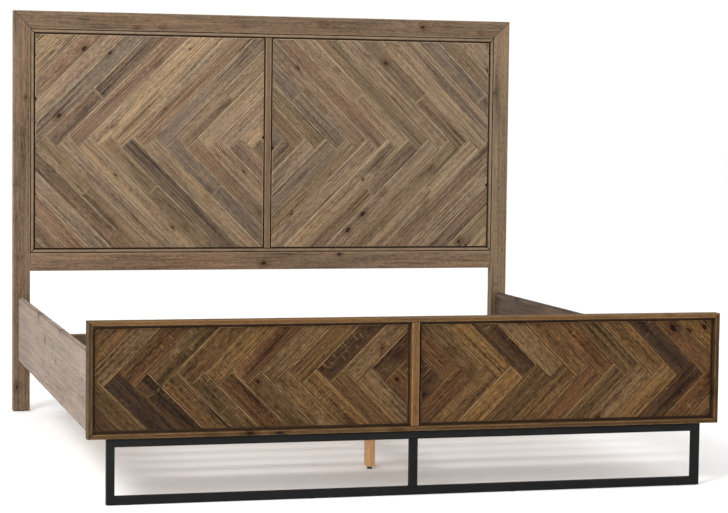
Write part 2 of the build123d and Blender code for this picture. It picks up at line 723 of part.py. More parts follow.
def build():
    """Every node by name."""
    nodes = {
        "headboard_top_rail": headboard_top_rail(),
        "headboard_lower_rail": headboard_lower_rail(),
        "headboard_lower_stretcher": headboard_stretcher(),
        "headboard_center_stile": headboard_stile(),
        "headboard_back_panel": headboard_backing(),
        "headboard_dowels": headboard_dowels(),
        "footboard_center_stile": footboard_stile(),
        "footboard_back_panel": footboard_backing(),
        "base_top_bar": base_top_bar(),
        "base_bottom_bar": base_bar(GLIDE_PAD, GLIDE_PAD + TUBE, True),
        "base_center_upright": base_center_upright(),
        "base_screws": base_screws(),
        "floor_glides": floor_glides(),
        "ledger_screws": ledger_screws(),
        "rail_hook_plates": group(hook_plate(*end) for end in rail_ends()),
        "rail_slot_plates": group(slot_plate(*end) for end in rail_ends()),
        "plate_screws": plate_screws(),
        "slats": slats(),
        "slat_screws": slat_screws(),
        "center_beam": center_beam(),
        "beam_hanger_foot": beam_hanger(FOOT_BACK, 1),
        "beam_hanger_head": beam_hanger(STRETCHER_FRONT, -1),
        "hanger_screws": hanger_screws(),
        "leg_bolts": leg_bolts(),
    }
    for name, bead in headboard_beads().items():
        nodes[f"headboard_{name}_bead"] = bead
    for name, board in footboard_boards().items():
        nodes[f"footboard_{name}_board"] = board
    for name, side in SIDES.items():
        nodes[f"headboard_{name}_post"] = headboard_post(side)
        nodes[f"base_{name}_upright"] = base_side_upright(side)
        nodes[f"{name}_side_rail"] = side_rail(side)
        nodes[f"{name}_ledger"] = ledger(side)
        for half, upper in (("upper", True), ("lower", False)):
            nodes[f"headboard_planks_{name}_{half}"] = headboard_planks(name, upper)
            nodes[f"footboard_planks_{name}_{half}"] = footboard_planks(name, upper)
    for name, offset in zip(("foot", "head"), LEG_OFFSETS):
        y = FOOT_FRONT + offset
        nodes[f"center_leg_{name}"] = center_leg(y)
        nodes[f"leg_insert_{name}"] = leg_insert(y)
        nodes[f"leveling_stem_{name}"] = leveling_stem(y)
        nodes[f"leveling_pad_{name}"] = leveling_pad(y)
    return nodes


os.makedirs("parts", exist_ok=True)
for node_name, node_shape in build().items():
    export_step(node_shape, f"parts/{node_name}.step")
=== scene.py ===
"""The looks of a king bed frame: reclaimed herringbone boards, worn edges, powder-coated steel, raw pine.

Metres, in the frame of the CAD model: the origin is the middle of the footprint on the floor, +X to the
right seen from the foot, +Y to the headboard and +Z up.
"""

import json
import math

import bmesh
import bpy
import numpy as np
from mathutils import Matrix, Vector


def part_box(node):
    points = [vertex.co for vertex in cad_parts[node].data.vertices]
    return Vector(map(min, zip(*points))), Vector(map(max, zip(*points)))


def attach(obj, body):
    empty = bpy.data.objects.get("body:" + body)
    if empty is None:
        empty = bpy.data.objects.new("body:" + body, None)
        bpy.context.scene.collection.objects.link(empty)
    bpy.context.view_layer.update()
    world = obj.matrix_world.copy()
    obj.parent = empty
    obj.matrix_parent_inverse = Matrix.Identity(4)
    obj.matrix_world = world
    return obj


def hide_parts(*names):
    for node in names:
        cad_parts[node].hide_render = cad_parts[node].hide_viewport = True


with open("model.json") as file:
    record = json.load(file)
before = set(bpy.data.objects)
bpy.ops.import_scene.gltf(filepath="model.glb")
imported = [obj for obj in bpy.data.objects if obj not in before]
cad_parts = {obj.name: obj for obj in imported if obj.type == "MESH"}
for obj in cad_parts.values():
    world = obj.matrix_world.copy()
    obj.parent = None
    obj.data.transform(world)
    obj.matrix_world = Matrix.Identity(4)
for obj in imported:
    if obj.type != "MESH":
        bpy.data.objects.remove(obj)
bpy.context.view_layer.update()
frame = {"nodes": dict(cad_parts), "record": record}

BODY = "bed_frame"
MM = 0.001

# The camera: its place in metres, its turns in radians, its lens and sensor in millimetres
CAMERA_PLACE = (-1.9179, -7.5367, 1.1848)
CAMERA_YAW = 0.2646
CAMERA_PITCH = -0.0645
CAMERA_ROLL = 0.0117
CAMERA_LENS = 106.67
SENSOR_WIDTH = 36.0

# Herringbone, as the CAD planks are laid
PLANK_WIDTH = 62.2 * MM
PLANK_JOINT = 1.2 * MM
# The dark gap round each half panel
PANEL_GAP = {"headboard": 2.2 * MM, "footboard": 3.5 * MM}
# The smallest sliver of a plank that is kept, in square metres
SMALLEST_PLANK = 1.5e-4
# Panels with strips longer than this have each third strip made of two planks, met at this share
LONG_PLANK = 330 * MM
LONG_PLANK_CUT = 0.45
CUT_EVERY = 3
# How far the first valley of the herringbone is from each half panel's outer side
HEAD_FIRST_VALLEY = {"left": -5 * MM, "right": 39 * MM}
FOOT_FIRST_VALLEY = {"left": 32 * MM, "right": 30 * MM}

# Boards: the spacing of their points along and across, the band beside an edge, the gap at their sides
STATION = 14 * MM
COLUMN = 14 * MM
BAND = 2.6 * MM
BOARD_GAP = 0.5 * MM
BEAD_GAP = 2.0 * MM
STILE_GAP = 1.2 * MM
BOARD_EASE = 1.8 * MM
EASE_STEPS = 3
# Where the middle point of an eased edge lies, as a share of the ease
EASE_MIDDLE = 0.3
SHARP_ANGLE = math.radians(40)
# Where a board is cut from its log, least and most, along, across and out
LOG_LEAST = (0, -20 * MM, 20 * MM)
LOG_MOST = (40.0, 20 * MM, 60 * MM)
# How far a board's faces and edges are from flat, and the lengths of their waves
BOARD_RELIEF = 0.1 * MM
FACE_WAVES = (310 * MM, 120 * MM, 50 * MM)
EDGE_RELIEF = 0.25 * MM
EDGE_WAVES = (200 * MM, 70 * MM)
EDGE_WAVE_HEIGHT = 0.2 * MM
BOARD_CHIPS = (350 * MM, 1.2 * MM)
CHIP_REACH = (6 * MM, 20 * MM)
CHIP_DEPTHS = (0.3, 1)
WAVE_SPREAD = (0.8, 1.25)
# The same for a plank, whose front also lies higher or lower and leans
PLANK_EDGE_WAVES = (130 * MM, 50 * MM)
PLANK_EDGE_WAVE_HEIGHT = 0.18 * MM
PLANK_CHIPS = (250 * MM, 0.9 * MM)
PLANK_LEAST_WIDTH = 0.4 * MM
PLANK_SETBACK = 0.7 * MM
PLANK_STEP = 0.6 * MM
PLANK_TWIST = 0.5 * MM
PLANK_WAVES = (500 * MM, 200 * MM)
PLANK_WAVE_HEIGHT = 0.2 * MM
PLANK_EASE = 1.5 * MM
# Lengths that count as nothing, in metres
HAIR = 1e-6
NOTHING = 1e-9

# Tones of the boards as they should show, in display colour
TONES = {
    "taupe": (142, 120, 98),
    "grey": (122, 105, 88),
    "sand": (152, 129, 101),
    "olive": (131, 110, 84),
    "russet": (132, 106, 84),
    "brown": (125, 102, 80),
    "dark": (107, 88, 70),
    "gold": (124, 93, 56),
    "walnut": (76, 53, 34),
    "black": (64, 46, 33),
    "moss": (98, 75, 47),
    "chestnut": (102, 71, 44),
    "hazel": (108, 80, 49),
    "ash": (117, 92, 62),
    "rail": (174, 154, 138),
    "pine": (205, 165, 118),
    # The legs' pine, painted lighter than the pine tone to stand in for light that the shade under the bed
    # takes off them
    "leg_painted_lighter": (255, 206, 152),
}
# A surface shows brighter in the white studio than its own colour by this much
STUDIO_GAIN = 1.72
LETTERS = {
    "t": "taupe",
    "g": "grey",
    "s": "sand",
    "o": "olive",
    "r": "russet",
    "b": "brown",
    "d": "dark",
    "y": "gold",
    "w": "walnut",
    "k": "black",
    "m": "moss",
    "c": "chestnut",
    "h": "hazel",
    "a": "ash",
}
# One letter for each strip of a quarter panel, from the outer corner to the middle of the bed
HEAD_TONES = {
    ("left", True): "ssrtgdrssbgostsgot",
    ("left", False): "bbrtbotsodsgbtrotg",
    ("right", True): "stogtsbtosrtgobggt",
    ("right", False): "sobtrsotbstogtdrbt",
}
FOOT_TONES = {
    ("left", True): "chacmhycahwawcmc",
    ("left", False): "wmkwhmcmayhachmc",
    ("right", True): "myckhmchawymcwhc",
    ("right", False): "hcwyamchmyhcwywc",
}
# How light each quarter is, beside its boards' own tones
HEAD_LIGHTNESS = {
    ("left", True): 1.16,
    ("left", False): 0.97,
    ("right", True): 0.91,
    ("right", False): 1.05,
}
FOOT_LIGHTNESS = {
    ("left", True): 0.76,
    ("left", False): 0.72,
    ("right", True): 0.84,
    ("right", False): 0.82,
}
# Wear and painted light is 1 where a board is pale: rubbed pale, and on each plank's upper edge also a
# painted highlight. It is below 0 where a board is dark: dark joints, and painted shade on the planks'
# sides and the rails' edges. At a board's ends:
MITRE_WEAR = -0.8
END_WEAR = 0.4
# On a plank: the foot and the top of its sides, dark as a joint and with painted shadow; its dull lower and
# its pale upper long edge, the pale one worn and painted with a highlight; its ends and end joints
PLANK_SIDE_JOINT_AND_SHADE = (-1.0, -0.9)
DULL_EDGE_WEAR = (0.25, 0.15)
PALE_EDGE_WEAR_AND_HIGHLIGHT = (0.8, 1.0)
PLANK_END_WEAR = 0.5
PLANK_JOINT_WEAR = -0.8
# How pale a plank's upper edge may be, from wear and a painted highlight, one of these for each plank
PLANK_EDGE_WEAR_AND_HIGHLIGHT = {
    "headboard": (1.0, 1.0, 0.85, 0.6),
    "footboard": (1.0, 0.8, 0.45, 0.15),
}
# How much lighter or darker one plank or slat may be than another of its tone
PLANK_SPREAD = (0.93, 1.07)
SLAT_SPREAD = (0.86, 1.1)
# Four mitred pieces round an opening: the axis that each runs along, and how its ends are cut
FOUR_SIDES = {
    "top": ("x", (1, 1)),
    "bottom": ("x", (-1, -1)),
    "left": ("z", (-1, -1)),
    "right": ("z", (1, 1)),
}
# How light the footboard's four edge boards are, beside the tone that they share
FOOT_EDGE_LIGHTNESS = {"top": 1.05, "bottom": 0.66, "left": 0.5, "right": 0.5}
SLAT_COUNT = 13
SLAT_WIDTH = 70 * MM
# Weld beads: thin at their ends, with a regular ripple and a little unevenness
WELD_RADIUS = 2.2 * MM
WELD_INSET = 3 * MM
WELD_RINGS = 9
WELD_SIDES = 8
WELD_TAPER = 0.45
WELD_RIPPLE = 0.14
WELD_UNEVEN = 0.08

# Studio
FLOOR_REACH = 60.0
WORLD_STRENGTH = 1.05
# Each lamp's place, its target, its size in metres and its power in watts
LAMPS = {
    "key": ((-4.5, -5.0, 5.0), (0, 0, 0.7), 2.5, 420),
    "fill": ((5.5, -4.0, 2.5), (0, 0, 0.5), 3.0, 60),
    "low": ((-1.6, -6.5, 0.5), (0, 0.4, 0.1), 0.9, 60),
}


def display(tone):
    """A display colour from 0 to 255 as linear light."""
    shares = [part / 255 for part in tone]
    return [s / 12.92 if s <= 0.04045 else ((s + 0.055) / 1.055) ** 2.4 for s in shares]


def paint(name, share=1.0):
    """A named tone as the colour of a surface in this studio, made lighter or darker by a share."""
    return np.array(display(TONES[name])) * share / STUDIO_GAIN


# Board meshes

class Boards:
    """Boards gathered in one mesh, with the attributes that the wood materials read."""

    def __init__(self, seed):
        self.random = np.random.default_rng(seed)
        self.points, self.grain, self.tint, self.wear_and_painted_light = [], [], [], []
        self.faces = []
        self.count = 0

    def sweep(self, rings, frame_axes, tint, wear_and_painted_light):
        """Adds a closed board from rings[station][point] in (along, across, out) metres."""
        stations, size, _ = rings.shape
        origin, along, across, out = (np.array(axis, float) for axis in frame_axes)
        local = rings.reshape(-1, 3)
        places = origin + local[:, :1] * along + local[:, 1:2] * across + local[:, 2:] * out
        log = self.random.uniform(LOG_LEAST, LOG_MOST)
        for station in range(stations - 1):
            for point in range(size):
                after = (point + 1) % size
                here, there = station * size, (station + 1) * size
                face = (here + point, here + after, there + after, there + point)
                self.faces.append([self.count + index for index in face])
        last = (stations - 1) * size
        self.faces.append([self.count + point for point in reversed(range(size))])
        self.faces.append([self.count + last + point for point in range(size)])
        self.points.append(places)
        self.grain.append(local + log)
        self.tint.append(np.tile([*tint, 1.0], (len(local), 1)))
        self.wear_and_painted_light.append(wear_and_painted_light.reshape(-1))
        self.count += len(local)

    def piece(self, name, material, slot, *nodes):
        """The gathered boards as one piece that stands for the given CAD nodes."""
        mesh = bpy.data.meshes.new(name)
        mesh.from_pydata(np.concatenate(self.points).tolist(), [], self.faces)
        shell = bmesh.new()
        shell.from_mesh(mesh)
        bmesh.ops.recalc_face_normals(shell, faces=shell.faces)
        shell.to_mesh(mesh)
        shell.free()
        for key, kind, field, rows in (
            ("grain", "FLOAT_VECTOR", "vector", self.grain),
            ("tint", "FLOAT_COLOR", "color", self.tint),
            ("wear_and_painted_light", "FLOAT", "value", self.wear_and_painted_light),
        ):
            attribute = mesh.attributes.new(key, kind, "POINT")
            attribute.data.foreach_set(field, np.concatenate(rows).astype(np.float32).ravel())
        mesh.shade_smooth()
        mesh.set_sharp_from_angle(angle=SHARP_ANGLE)
        mesh.materials.append(material)
        made = bpy.data.objects.new(name, mesh)
        bpy.context.scene.collection.objects.link(made)
        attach(made, BODY)
        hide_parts(*nodes)


def ripple(random, places, lengths, height):
    """A smooth random line over the places, made of a few waves of about the given lengths."""
    line = np.zeros(len(places))
    for length in lengths:
        wave = length * random.uniform(*WAVE_SPREAD)
        line += np.sin(2 * math.pi * (places / wave + random.uniform()))
    return height * line / len(lengths)


def chips(random, places, spacing, depth):
    """Dents along an edge, from 0 to depth, a centimetre or two long and about one in each spacing."""
    dents = np.zeros(len(places))
    span = places[-1] - places[0]
    for _ in range(random.poisson(max(span, 0) / spacing)):
        middle = random.uniform(places[0], places[-1])
        reach = random.uniform(*CHIP_REACH)
        dents += random.uniform(*CHIP_DEPTHS) * np.exp(-(((places - middle) / reach) ** 2))
    return depth * np.minimum(dents, 1)


def stations_between(low, high, ease, extra=()):
    """Places along a board: close together at its eased ends and evenly spaced between."""
    inner = np.linspace(low + ease, high - ease, max(2, int((high - low) / STATION) + 1))
    ends = [low, low + EASE_MIDDLE * ease, high - EASE_MIDDLE * ease, high]
    if high - low > 4 * (ease + BAND):
        ends += [low + ease + BAND, high - ease - BAND]
    return np.unique(np.round(np.concatenate([ends, inner, list(extra)]), 6))


def end_drop(places, low, high, ease):
    """How far a board's faces are pulled in near its eased ends."""
    inside = np.minimum(places - low, high - places)
    share = np.clip(1 - inside / ease, 0, 1)
    return ease * (1 - np.sqrt(np.maximum(1 - share**2, 0)))


def perimeter(width, thickness, ease):
    """Points round a board's section as (across, out, inward across, inward out, wear and painted light)
    rows.
    """
    half_v, half_w = width / 2, thickness / 2
    rows = []
    corners = [(1, -1), (1, 1), (-1, 1), (-1, -1)]
    for index, (sv, sw) in enumerate(corners):
        start = math.radians(-90 + 90 * index)
        centre = (sv * (half_v - ease), sw * (half_w - ease))
        for step in range(EASE_STEPS):
            angle = start + math.radians(90) * step / (EASE_STEPS - 1)
            v = centre[0] + ease * math.cos(angle)
            w = centre[1] + ease * math.sin(angle)
            rows.append((v, w, -sv, -sw, 1.0))
        next_sv, next_sw = corners[(index + 1) % 4]
        if sv == next_sv:
            side, moving, fixed = sw, half_w, sv * half_v
        else:
            side, moving, fixed = sv, half_v, sw * half_w
        reach = moving - ease - BAND
        if reach <= 0:
            continue
        steps = max(2, int(2 * reach / COLUMN) + 1)
        for value in np.linspace(side * reach, -side * reach, steps):
            if sv == next_sv:
                rows.append((fixed, value, -sv, 0, 0.0))
            else:
                rows.append((value, fixed, 0, -sw, 0.0))
    return np.array(rows)


def add_board(boards, corner_low, corner_high, along, out, tint, ease, cuts=(0, 0), worn_and_painted_light=1.0,
              gap=BOARD_GAP):
    """A board that fills the box between two corners, less a gap at its sides and ends.

    along and out are axis letters, and out may start with "-". cuts says how each end is mitred: 1 cuts
    the low side of the board shorter, -1 the high side, and 0 leaves the end square.
    """
    low, high = np.array(corner_low, float), np.array(corner_high, float)
    letters = "xyz"
    a, w = letters.index(along), letters.index(out[-1])
    v = 3 - a - w
    axes = np.eye(3)
    out_axis = axes[w] * (-1 if out.startswith("-") else 1)
    origin = (low + high) / 2
    origin[a] = 0
    length_low, length_high = low[a] + gap, high[a] - gap
    width, thickness = high[v] - low[v] - 2 * gap, high[w] - low[w]
    section = perimeter(width, thickness, ease)
    random = boards.random
    places = stations_between(length_low, length_high, ease)
    drop = end_drop(places, length_low, length_high, ease)
    share = (places - length_low) / (length_high - length_low)
    rings = np.zeros((len(places), len(section), 3))
    wear_and_painted_light = np.tile(section[:, 4] * worn_and_painted_light, (len(places), 1))
    for index, (across, depth, in_v, in_w, edge) in enumerate(section):
        pull = np.abs(BOARD_RELIEF + ripple(random, places, FACE_WAVES, BOARD_RELIEF))
        if edge:
            pull = pull + EDGE_RELIEF + ripple(random, places, EDGE_WAVES, EDGE_WAVE_HEIGHT)
            pull = np.abs(pull) + chips(random, places, *BOARD_CHIPS)
        side = across + in_v * (pull + drop)
        face = depth + in_w * (pull + drop)
        from_low = across + width / 2
        short_start = (width - from_low if cuts[0] > 0 else from_low) * abs(cuts[0])
        short_end = (width - from_low if cuts[1] > 0 else from_low) * abs(cuts[1])
        start, end = length_low + short_start, length_high - short_end
        rings[:, index, 0] = start + (end - start) * share
        rings[:, index, 1] = side
        rings[:, index, 2] = face
    for end, stations in ((0, (0, 1)), (1, (-1, -2))):
        for station in stations:
            wear_and_painted_light[station] = MITRE_WEAR if cuts[end] else END_WEAR * worn_and_painted_light
    boards.sweep(rings, (origin, axes[a], axes[v], out_axis), tint, wear_and_painted_light)


# Herringbone planks

def clip(outline, normal, limit):
    """The part of a convex outline where normal . point <= limit."""
    kept = []
    for here, after in zip(outline, outline[1:] + outline[:1]):
        inside, inside_after = limit - here @ normal, limit - after @ normal
        if inside >= 0:
            kept.append(here)
        if inside * inside_after < 0:
            kept.append(here + (after - here) * inside / (inside - inside_after))
    return kept


def outline_area(outline):
    """The area of a flat outline."""
    pairs = zip(outline, outline[1:] + outline[:1])
    return abs(sum(a[0] * b[1] - a[1] * b[0] for a, b in pairs)) / 2


def quarter_strips(upper, width, height, first_valley):
    """Each strip's planks as (strip number, outline in along and across, place, along, across).

    The panel's outer low corner is (0, 0), and its first coordinate grows towards the bed's middle.
    """
    slope = math.sqrt(0.5)
    along = np.array([slope, slope if upper else -slope])
    across = np.array([-slope if upper else slope, slope])
    sign = -1 if upper else 1
    zigzag = np.array([first_valley, height / 2 - PLANK_WIDTH / math.sqrt(8)])
    gap = PLANK_JOINT / 2
    strips = math.ceil((width + height) / PLANK_WIDTH)
    long_side = height / math.sqrt(2)
    planks = []
    number = 0
    for index in range(-strips, strips):
        start = (index + 1 if upper else index) * PLANK_WIDTH + gap
        middle = sign * (index + 0.5) * PLANK_WIDTH
        spans = [(start, start + 2 * width)]
        if index % CUT_EVERY == 0 and long_side >= LONG_PLANK:
            cut = start + LONG_PLANK_CUT * long_side
            spans = [(start, cut - gap), (cut + gap, start + 2 * width)]
        found = False
        for near, far in spans:
            half = PLANK_WIDTH / 2 - gap
            corners = [(near, -half), (far, -half), (far, half), (near, half)]
            outline = [zigzag + u * along + (middle + v) * across for u, v in corners]
            for normal, limit in (((-1, 0), 0), ((1, 0), width), ((0, -1), 0), ((0, 1), height)):
                outline = clip(outline, np.array(normal, float), limit) if outline else outline
            if len(outline) < 3 or outline_area(outline) < SMALLEST_PLANK:
                continue
            place = zigzag + middle * across
            flat = [np.array([(p - place) @ along, (p - place) @ across]) for p in outline]
            planks.append((number, flat, place, along, across))
            found = True
        number += found
    return planks


def span_at(outline, u):
    """The lowest and highest across of a convex outline at one place along it."""
    found = []
    for a, b in zip(outline, outline[1:] + outline[:1]):
        if min(a[0], b[0]) <= u <= max(a[0], b[0]):
            if abs(a[0] - b[0]) < NOTHING:
                found += [a[1], b[1]]
            else:
                found.append(a[1] + (b[1] - a[1]) * (u - a[0]) / (b[0] - a[0]))
    return min(found), max(found)


def add_plank(boards, outline, frame_axes, thickness, tint, ease, pale_edge):
    """A plank from its flat outline: a level back, eased edges, and a front that isn't quite flat.

    pale_edge is how pale one of its long edges is, the upper one, worn and painted with a highlight.
    """
    random = boards.random
    low, high = min(p[0] for p in outline), max(p[0] for p in outline)
    places = stations_between(low + HAIR, high - HAIR, ease, [p[0] for p in outline[1:-1]])
    places = places[(places >= low) & (places <= high)]
    spans = np.array([span_at(outline, u) for u in places])
    wobble = [ripple(random, places, PLANK_EDGE_WAVES, PLANK_EDGE_WAVE_HEIGHT) for _ in range(2)]
    dents = [chips(random, places, *PLANK_CHIPS) for _ in range(2)]
    v0 = spans[:, 0] + np.abs(wobble[0])
    widths = np.maximum(spans[:, 1] - np.abs(wobble[1]) - v0, PLANK_LEAST_WIDTH)
    v1 = v0 + widths
    level = thickness - PLANK_SETBACK + random.uniform(-PLANK_STEP, PLANK_STEP)
    top = level + ripple(random, places, PLANK_WAVES, PLANK_WAVE_HEIGHT)
    twist = random.uniform(-PLANK_TWIST, PLANK_TWIST)
    drop = end_drop(places, low, high, ease)
    reach = np.minimum(1, widths / (2 * (ease + BAND) + 2 * MM))
    edge = [(ease + dents[side]) * reach for side in (0, 1)]
    band = BAND * reach
    inner = widths - edge[0] - edge[1] - 2 * band
    # The plank's sides are darkened: a dark joint, and painted shadow in the gaps between planks
    foot_joint_and_shade, side_joint_and_shade = PLANK_SIDE_JOINT_AND_SHADE
    near, far = EASE_MIDDLE * edge[0], EASE_MIDDLE * edge[1]
    face = top - drop
    columns = [
        (v0, 0 * top, foot_joint_and_shade),
        (v0, face - edge[0], side_joint_and_shade),
        (v0 + near, face - near, DULL_EDGE_WEAR[0]),
        (v0 + edge[0], face, DULL_EDGE_WEAR[1]),
        *[(v0 + edge[0] + band + inner * share, face, 0.0) for share in (0, 0.25, 0.5, 0.75, 1)],
        # The upper long edge is pale: worn, and a painted highlight where light from above would catch its
        # bevel
        (v1 - edge[1], face, PALE_EDGE_WEAR_AND_HIGHLIGHT[0] * pale_edge),
        (v1 - far, face - far, PALE_EDGE_WEAR_AND_HIGHLIGHT[1] * pale_edge),
        (v1, face - edge[1], side_joint_and_shade),
        (v1, 0 * top, foot_joint_and_shade),
    ]
    rings = np.zeros((len(places), len(columns), 3))
    wear_and_painted_light = np.zeros((len(places), len(columns)))
    for index, (across, out, worn_and_painted_light) in enumerate(columns):
        rings[:, index, 0] = places
        rings[:, index, 1] = across
        lean = twist * (across - v0) / widths if 0 < index < len(columns) - 1 else 0
        rings[:, index, 2] = out + lean
        wear_and_painted_light[:, index] = worn_and_painted_light
    for station in (1, 2, -3, -2):
        wear_and_painted_light[station, 3:-3] = PLANK_END_WEAR * pale_edge
    for station in (0, -1):
        wear_and_painted_light[station] = np.minimum(wear_and_painted_light[station], PLANK_JOINT_WEAR)
    boards.sweep(rings, frame_axes, tint, wear_and_painted_light)


def panel_quarter(kind, name, upper, tones, first_valley, material, lightness, seed):
    """One quarter of a herringbone panel, in place of its CAD planks."""
    row, other_row = ("upper", "lower") if upper else ("lower", "upper")
    node = f"{kind}_planks_{name}_{row}"
    other = f"{kind}_planks_{name}_{other_row}"
    low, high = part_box(node)
    other_low, other_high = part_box(other)
    gap = PANEL_GAP[kind]
    bottom = min(low.z, other_low.z) + gap
    top = max(high.z, other_high.z) - gap
    inward = 1 if name == "left" else -1
    outer = (low.x if name == "left" else high.x) + inward * gap
    boards = Boards(seed)
    width = high.x - low.x - 2 * gap
    planks = quarter_strips(upper, width, top - bottom, first_valley - gap)
    for number, outline, place, along, across in planks:
        letter = tones[number % len(tones)]
        tint = paint(LETTERS[letter], lightness * boards.random.uniform(*PLANK_SPREAD))
        origin = (outer + inward * place[0], high.y, bottom + place[1])
        axes = (origin, (inward * along[0], 0, along[1]), (inward * across[0], 0, across[1]), (0, -1, 0))
        pale_edge = boards.random.choice(PLANK_EDGE_WEAR_AND_HIGHLIGHT[kind])
        add_plank(boards, outline, axes, high.y - low.y, tint, PLANK_EASE, pale_edge)
    boards.piece(f"herringbone_{kind}_{name}_{row}", material, f"{kind[:4]}_planks", node)


# Materials

class Nodes:
    """A material's node tree with short ways to add what the looks need."""

    def __init__(self, name):
        self.material = bpy.data.materials.new(name)
        self.material.use_nodes = True
        self.tree = self.material.node_tree
        self.shader = self.tree.nodes["Principled BSDF"]

    def add(self, kind, inputs=(), **settings):
        """A new node with its settings and its inputs by name."""
        node = self.tree.nodes.new(kind)
        for key, value in settings.items():
            setattr(node, key, value)
        for key, value in dict(inputs).items():
            self.put(node.inputs[key], value)
        return node

    def put(self, socket, value):
        """Links a socket to another, or sets it to a constant."""
        if isinstance(value, bpy.types.NodeSocket):
            self.tree.links.new(value, socket)
        else:
            socket.default_value = value

    def attribute(self, name, output):
        """One of the mesh's own attributes."""
        return self.add("ShaderNodeAttribute", attribute_name=name).outputs[output]

    def places(self):
        """Each point's place in the object's own axes."""
        return self.add("ShaderNodeTexCoord").outputs["Object"]

    def math(self, operation, a, b=0.0):
        """One operation on one or two numbers."""
        node = self.add("ShaderNodeMath", operation=operation)
        self.put(node.inputs[0], a)
        self.put(node.inputs[1], b)
        return node.outputs[0]

    def plus(self, a, b):
        """a + b."""
        return self.math("ADD", a, b)

    def times(self, a, b):
        """a * b."""
        return self.math("MULTIPLY", a, b)

    def total(self, *rows):
        """The sum of (value, weight) rows."""
        sum_so_far, *others = [self.times(value, weight) for value, weight in rows]
        for term in others:
            sum_so_far = self.plus(sum_so_far, term)
        return sum_so_far

    def vector(self, operation, a, b):
        """One operation on two vectors."""
        node = self.add("ShaderNodeVectorMath", operation=operation)
        self.put(node.inputs[0], a)
        self.put(node.inputs[1], b)
        return node.outputs[0]

    def noise(self, vector, scale=1.0, detail=2.0, output="Fac"):
        """Smooth noise, which stays mostly between 0.3 and 0.7."""
        inputs = {"Vector": vector, "Scale": scale, "Detail": detail, "Roughness": 0.5}
        return self.add("ShaderNodeTexNoise", inputs).outputs[output]

    def cells(self, vector, scale=1.0):
        """The outputs of a cell texture: the distance to each cell's middle, and a colour for each cell."""
        return self.add("ShaderNodeTexVoronoi", {"Vector": vector, "Scale": scale}).outputs

    def ramp(self, value, low, high, to_low=0.0, to_high=1.0, smooth=True):
        """A value taken from one span to another, and held at the ends."""
        kind = "SMOOTHSTEP" if smooth else "LINEAR"
        inputs = {"Value": value, "From Min": low, "From Max": high, "To Min": to_low, "To Max": to_high}
        return self.add("ShaderNodeMapRange", inputs, interpolation_type=kind).outputs[0]

    def mix(self, share, a, b, blend="MIX"):
        """Two colours mixed, b by the share."""
        node = self.add("ShaderNodeMix", data_type="RGBA", blend_type=blend, clamp_factor=True)
        self.put(node.inputs[0], share)
        self.put(node.inputs[6], a)
        self.put(node.inputs[7], b)
        return node.outputs[2]

    def finish(self, color, roughness, height):
        """Gives the shader its colour, its roughness and its relief, a height in metres."""
        self.put(self.shader.inputs["Base Color"], color)
        self.put(self.shader.inputs["Roughness"], roughness)
        relief = self.add("ShaderNodeBump", {"Height": height, "Distance": 1.0, "Strength": 1.0})
        self.put(self.shader.inputs["Normal"], relief.outputs[0])
        return self.material


def shade(tone):
    """A display colour as a socket value."""
    return (*display(tone), 1.0)


# Wood. Each field of the grain has its waves per metre along and across the board, and its detail.
FIELDS = {
    "fine": (11, 420, 3),
    "streak": (3.2, 115, 3),
    "band": (1.6, 30, 2),
    "cloud": (3.5, 14, 3),
    "mottle": (62, 220, 3),
    "warmth": (2.2, 21, 2),
    "film": (2.4, 24, 4),
}
FIELD_SPAN = (0.3, 0.7)
# The same for patches, and the noise levels between which a patch fades in
PATCHES = {
    "sawn": (6, 13, 2, 0.44, 0.58),
    "dashes": (190, 36, 2, 0.56, 0.68),
    "dashed": (7, 14, 2, 0.54, 0.64),
    "pale_edges": (28, 28, 3, 0.35, 0.6),
}
# How much of a board's light and dark each field makes
TONE_WEIGHTS = {"streak": 1.1, "fine": 0.5, "band": 0.5, "cloud": 0.6, "mottle": 1.3}
DARKEST_TONE = 0.3
# Where a CAD solid lies in its log
SOLID_LOG = (3.7, 0.013, 0.041)
GRAIN_WANDER = ((1.6, 9, 9), (0, 30 * MM, 30 * MM))
RING_SPACING = 4.8 * MM
RING_WAVER = 0.6
RING_SHARPNESS = 2.5
# Knots lie in cells that are long through the board; their radii and ragged edges are in shares of a cell
KNOT_CELLS = (9, 14, 0.4)
KNOT_RADII = (0.05, 0.14)
KNOT_CORE = 0.7
KNOT_EDGE = ((60, 90, 90), (0.1, 0.1, 0))
HALO_REACH = 3.0
HALO_LIFT = 12 * MM
HALO_DEPTH = 0.6
CRACK_NOISE = (2.6, 62, 2)
CRACK_WIDTH = 0.016
CRACK_DEPTH = 0.75
SAW_SPACING = 7.2 * MM
SAW_SLANT = 21 * MM
SAW_WAVER = {"cloud": 5.0, "mottle": 1.3}
SAW_PALE = 0.3
PALE_EDGE_LEAST = 0.4
FULL_WEAR_AND_PAINTED_LIGHT = 0.8
SHEEN_SPREAD = 0.12
# What linear red, green and blue are multiplied by where each of these is at its strongest
WARM = (1.12, 0.98, 0.8)
COOL = (0.95, 1.0, 1.1)
LATE_WOOD = (0.5, 0.4, 0.32)
SHADOW = (0.52, 0.46, 0.42)
CRACK = (0.42, 0.34, 0.28)
SAW_DARK = (0.5, 0.46, 0.42)
SAW_LIGHT = (1.7, 1.65, 1.6)
HALO = (0.5, 0.36, 0.25)
KNOT = (0.16, 0.11, 0.09)
# The dark of joints, also used for the painted shade on the planks' sides and the rails' edges
JOINT_AND_SHADE_DARK = (0.16, 0.12, 0.1)
# How far each thing stands out of the surface, or is sunk in it where this is negative
RELIEF = {
    "late": 0.12 * MM,
    "streak": 0.35 * MM,
    "fine": 0.16 * MM,
    "saw": 0.22 * MM,
    "knot": -0.5 * MM,
    "dash": -0.3 * MM,
}


